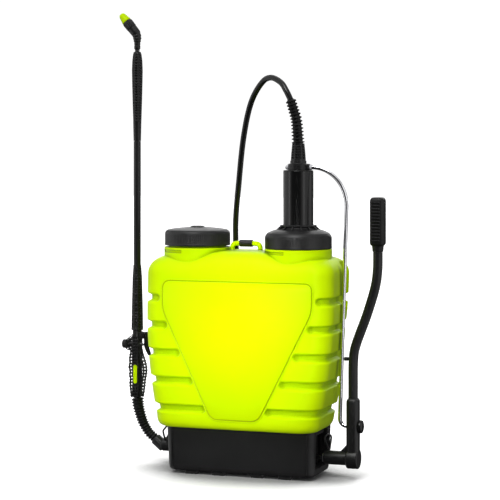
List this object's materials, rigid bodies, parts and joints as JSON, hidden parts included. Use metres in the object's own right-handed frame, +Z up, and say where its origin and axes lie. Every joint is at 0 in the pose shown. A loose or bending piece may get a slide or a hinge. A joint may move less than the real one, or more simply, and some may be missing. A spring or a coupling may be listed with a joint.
{
  "type": "backpack sprayer",
  "caption": "Backpack sprayer: moulded tank on a base, two screw caps, side pump lever with link rod, hose, spray lance and shoulder straps.",
  "frame": {"origin": "centre of the bounding box without the hose, on the floor under the feet", "axes": "+Z up, +Y towards the wearer's back side (straps), -Y the outer face with the V panel, +X the pump lever's side"},
  "size_m": [0.4781, 0.3229, 0.773],
  "materials": {
    "neon_plastic": "semi-gloss blow-moulded polyethylene",
    "black_plastic": "moulded black plastic, fine satin grain",
    "black_rubber": "soft black rubber or PVC",
    "bright_steel": "bright bent wire and bar",
    "white_plastic": "white moulded plastic",
    "black_fabric": "woven polyester webbing and padded mesh"
  },
  "bodies": {
    "tank_body": {"tank": "neon_plastic", "base": "black_plastic", "strap_anchor": "black_plastic", "strap_pad_left": "black_fabric", "strap_pad_right": "black_fabric", "strap_web_left": "black_fabric", "strap_web_right": "black_fabric", "buckle_left": "black_plastic", "buckle_right": "black_plastic", "web_lug_left": "black_plastic", "web_lug_right": "black_plastic", "pump_barrel": "white_plastic", "foot_valve": "black_plastic", "strainer_basket": "black_plastic", "nut_gasket": "black_rubber", "carry_handle": "neon_plastic", "handle_sleeve": "black_plastic", "shaft_flange": "bright_steel", "hose_elbow": "black_plastic", "hose": "black_rubber"},
    "pump": {"pressure_cylinder": "black_plastic", "pump_piston": "black_rubber", "pump_head": "black_plastic", "gland_nut": "black_plastic", "pump_strain_relief": "black_rubber"},
    "pump_nut": {"pump_nut": "black_plastic"},
    "link_rod": {"link_rod": "bright_steel", "rod_clip": "white_plastic", "rod_end_cap": "white_plastic"},
    "lever": {"lever_socket": "black_plastic", "lever_tube": "black_plastic", "lever_grip": "black_rubber", "lever_hook": "black_plastic", "link_pin": "black_plastic", "lever_shaft": "bright_steel", "shaft_washer": "bright_steel"},
    "lid_ring": {"lid_gasket": "black_rubber"},
    "filler_lid": {"filler_lid": "black_plastic"},
    "vent_button": {"vent_button": "black_plastic"},
    "strap_ring_left": {"strap_ring_left": "black_plastic"},
    "strap_ring_right": {"strap_ring_right": "black_plastic"},
    "lance": {"handle_body": "black_plastic", "wand_strain_relief": "black_rubber", "badge_plate": "neon_plastic", "valve_bonnet": "black_plastic", "trigger_pin": "bright_steel", "lance_collar": "black_plastic", "lance_tube": "black_plastic"},
    "trigger": {"trigger": "black_plastic"},
    "valve_plunger": {"valve_plunger": "bright_steel"},
    "telescope_nut": {"telescope_nut": "black_plastic"},
    "inner_lance": {"inner_lance": "black_plastic"},
    "nozzle_elbow": {"elbow": "black_plastic", "nozzle_nut": "black_plastic"},
    "nozzle_cap": {"nozzle_cap": "neon_plastic"}
  },
  "joints": [
    {"name": "lever_swing", "type": "hinge", "parent": "tank_body", "child": "lever", "pos_m": [0.1351, -0.0217, 0.0345], "axis": [-1, 0, 0], "range_deg": [0, 75]},
    {"name": "pump_stroke", "type": "slide", "parent": "tank_body", "child": "pump", "axis": [0, 0, -1], "range_m": [0, 0.04266], "deforming": ["hose"]},
    {"name": "rod_tilt", "type": "hinge", "parent": "pump", "child": "link_rod", "pos_m": [0.0913, -0.0217, 0.5125], "axis": [1, 0, 0], "range_deg": [0, 6.95]},
    {"name": "pump_nut_turn", "type": "hinge", "parent": "tank_body", "child": "pump_nut", "pos_m": [0.0913, -0.0217, 0.39], "axis": [0, 0, 1], "continuous": true},
    {"name": "lid_lift", "type": "slide", "parent": "tank_body", "child": "lid_ring", "axis": [0, 0, 1], "range_m": [0, 0.08]},
    {"name": "lid_turn", "type": "hinge", "parent": "lid_ring", "child": "filler_lid", "pos_m": [-0.0877, -0.0217, 0.39], "axis": [0, 0, 1], "continuous": true},
    {"name": "vent_press", "type": "slide", "parent": "filler_lid", "child": "vent_button", "axis": [0, 0, -1], "range_m": [0, 0.0016], "stiffness_N_per_m": 300},
    {"name": "ring_left_swing", "type": "hinge", "parent": "tank_body", "child": "strap_ring_left", "pos_m": [-0.1482, -0.0057, 0.0685], "axis": [0, 1, 0], "range_deg": [0, 80]},
    {"name": "ring_right_swing", "type": "hinge", "parent": "tank_body", "child": "strap_ring_right", "pos_m": [0.1365, -0.0057, 0.0685], "axis": [0, -1, 0], "range_deg": [0, 80]},
    {"name": "lance_swing", "type": "hinge", "parent": "tank_body", "child": "lance", "pos_m": [-0.1972, 0.0063, 0.068], "axis": [0, -1, 0], "range_deg": [0, 60], "deforming": ["wand_strain_relief"]},
    {"name": "trigger_pull", "type": "hinge", "parent": "lance", "child": "trigger", "pos_m": [-0.1984, 0.0063, 0.2216], "axis": [0, 1, 0], "range_deg": [0, 12], "stiffness_Nm_per_rad": 0.3},
    {"name": "plunger_push", "type": "slide", "parent": "lance", "child": "valve_plunger", "axis": [-1, 0, 0], "range_m": [0, 0.00345]},
    {"name": "telescope_nut_turn", "type": "hinge", "parent": "lance", "child": "telescope_nut", "pos_m": [-0.2102, 0.0063, 0.63], "axis": [0, 0, 1], "continuous": true},
    {"name": "lance_extend", "type": "slide", "parent": "lance", "child": "inner_lance", "axis": [0, 0, 1], "range_m": [0, 0.22]},
    {"name": "nozzle_swivel", "type": "hinge", "parent": "inner_lance", "child": "nozzle_elbow", "pos_m": [-0.2102, 0.0063, 0.7124], "axis": [0, 0, 1], "continuous": true},
    {"name": "nozzle_adjust", "type": "hinge", "parent": "nozzle_elbow", "child": "nozzle_cap", "pos_m": [-0.2132, 0.0063, 0.743], "axis": [-0.6423, 0, 0.7665], "continuous": true}
  ],
  "couplings": [
    {"joint": "pump_stroke", "follows": "lever_swing", "m_per_rad": 0.03244},
    {"joint": "rod_tilt", "follows": "lever_swing", "ratio": 0.092443},
    {"joint": "plunger_push", "follows": "trigger_pull", "m_per_rad": 0.016234}
  ]
}
